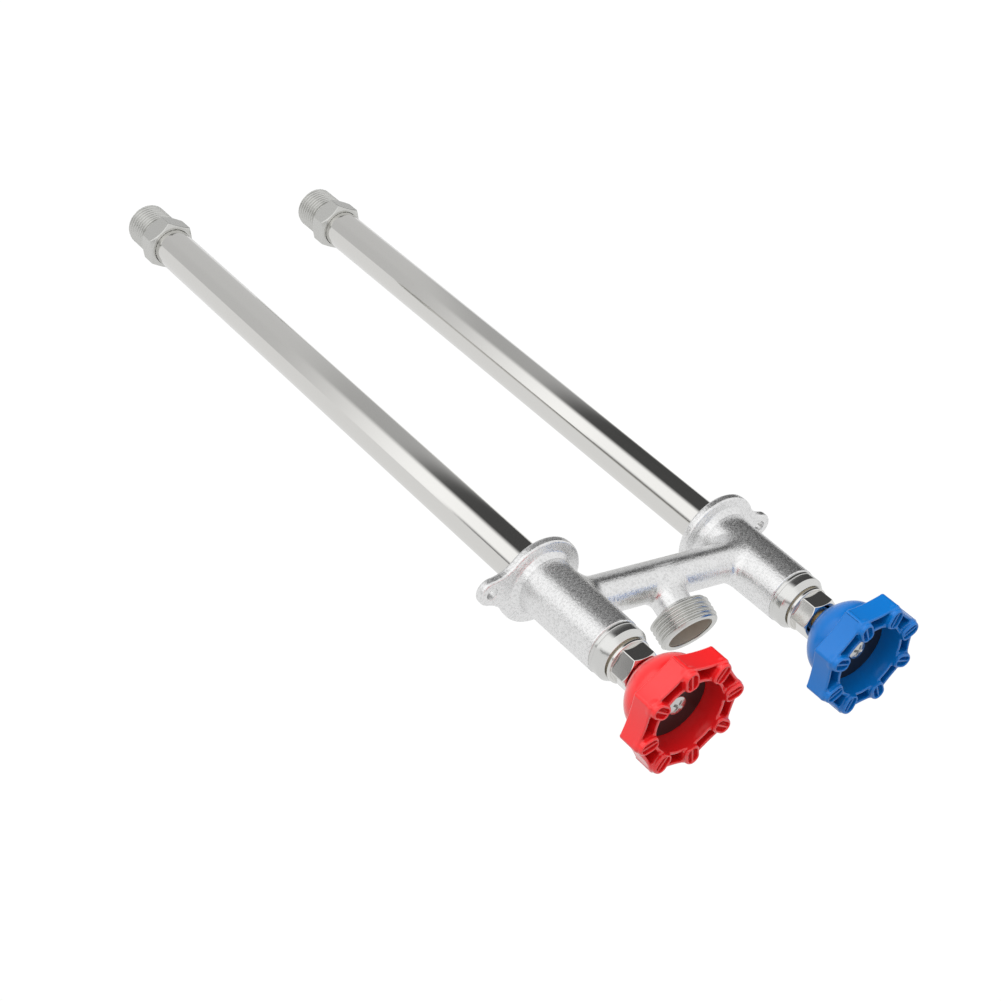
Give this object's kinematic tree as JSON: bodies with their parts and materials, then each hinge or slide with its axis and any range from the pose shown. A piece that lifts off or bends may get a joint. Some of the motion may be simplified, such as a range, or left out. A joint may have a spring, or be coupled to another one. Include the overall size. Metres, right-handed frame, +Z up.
{
  "type": "sillcock",
  "caption": "Frost-free sillcock for hot and cold water: long chromed tubes through the wall, flanged valve bodies, a crossbar with a threaded hose outlet, red and blue lobed hand wheels",
  "frame": {"origin": "on the outside face of the wall, midway between the two tube axes and the two ear screws", "axes": "X from the hot side (red) to the cold side (blue), Y into the wall along the tubes, Z up; the handles point to -Y"},
  "size_m": [0.1644, 0.424, 0.052],
  "materials": {
    "cast_satin_plate": "cast brass with satin chrome plate",
    "polished_chrome": "polished chrome plate",
    "satin_plated_brass": "turned brass with chrome plate",
    "bare_brass": "turned",
    "packing_rubber": "moulded",
    "fibre": "pressed fibre",
    "red_enamel": "gloss enamel on a die casting",
    "blue_enamel": "gloss enamel on a die casting",
    "black_plastic": "plain disc",
    "screw_steel": "plated steel"
  },
  "bodies": {
    "sillcock": {"valve_casting": "cast_satin_plate", "hot_tube": "polished_chrome", "hot_inlet_fitting": "satin_plated_brass", "hot_packing_nut": "polished_chrome", "hot_nut_gasket": "fibre", "hot_packing": "packing_rubber", "hot_packing_washer": "bare_brass", "cold_tube": "polished_chrome", "cold_inlet_fitting": "satin_plated_brass", "cold_packing_nut": "polished_chrome", "cold_nut_gasket": "fibre", "cold_packing": "packing_rubber", "cold_packing_washer": "bare_brass"},
    "hot_washer_carrier": {"hot_swivel_cup": "bare_brass", "hot_seat_washer": "packing_rubber", "hot_washer_screw": "bare_brass"},
    "hot_spindle": {"hot_stem": "bare_brass", "hot_operating_rod": "bare_brass", "hot_handle": "red_enamel", "hot_index_disc": "black_plastic", "hot_handle_screw": "screw_steel"},
    "cold_washer_carrier": {"cold_swivel_cup": "bare_brass", "cold_seat_washer": "packing_rubber", "cold_washer_screw": "bare_brass"},
    "cold_spindle": {"cold_stem": "bare_brass", "cold_operating_rod": "bare_brass", "cold_handle": "blue_enamel", "cold_index_disc": "black_plastic", "cold_handle_screw": "screw_steel"}
  },
  "joints": [
    {"name": "hot_lift", "type": "slide", "parent": "sillcock", "child": "hot_washer_carrier", "axis": [0, -1, 0], "range_m": [0, 0.0075]},
    {"name": "hot_turn", "type": "hinge", "parent": "hot_washer_carrier", "child": "hot_spindle", "pos_m": [-0.0508, -0.09, 0], "axis": [0, -1, 0], "range_deg": [0, 1080]},
    {"name": "cold_lift", "type": "slide", "parent": "sillcock", "child": "cold_washer_carrier", "axis": [0, -1, 0], "range_m": [-0.001, 0.0065]},
    {"name": "cold_turn", "type": "hinge", "parent": "cold_washer_carrier", "child": "cold_spindle", "pos_m": [0.0508, -0.09, 0], "axis": [0, -1, 0], "range_deg": [-144, 936]}
  ],
  "couplings": [
    {"joint": "hot_lift", "follows": "hot_turn", "m_per_rad": 0.00039789},
    {"joint": "cold_lift", "follows": "cold_turn", "m_per_rad": 0.00039789}
  ]
}
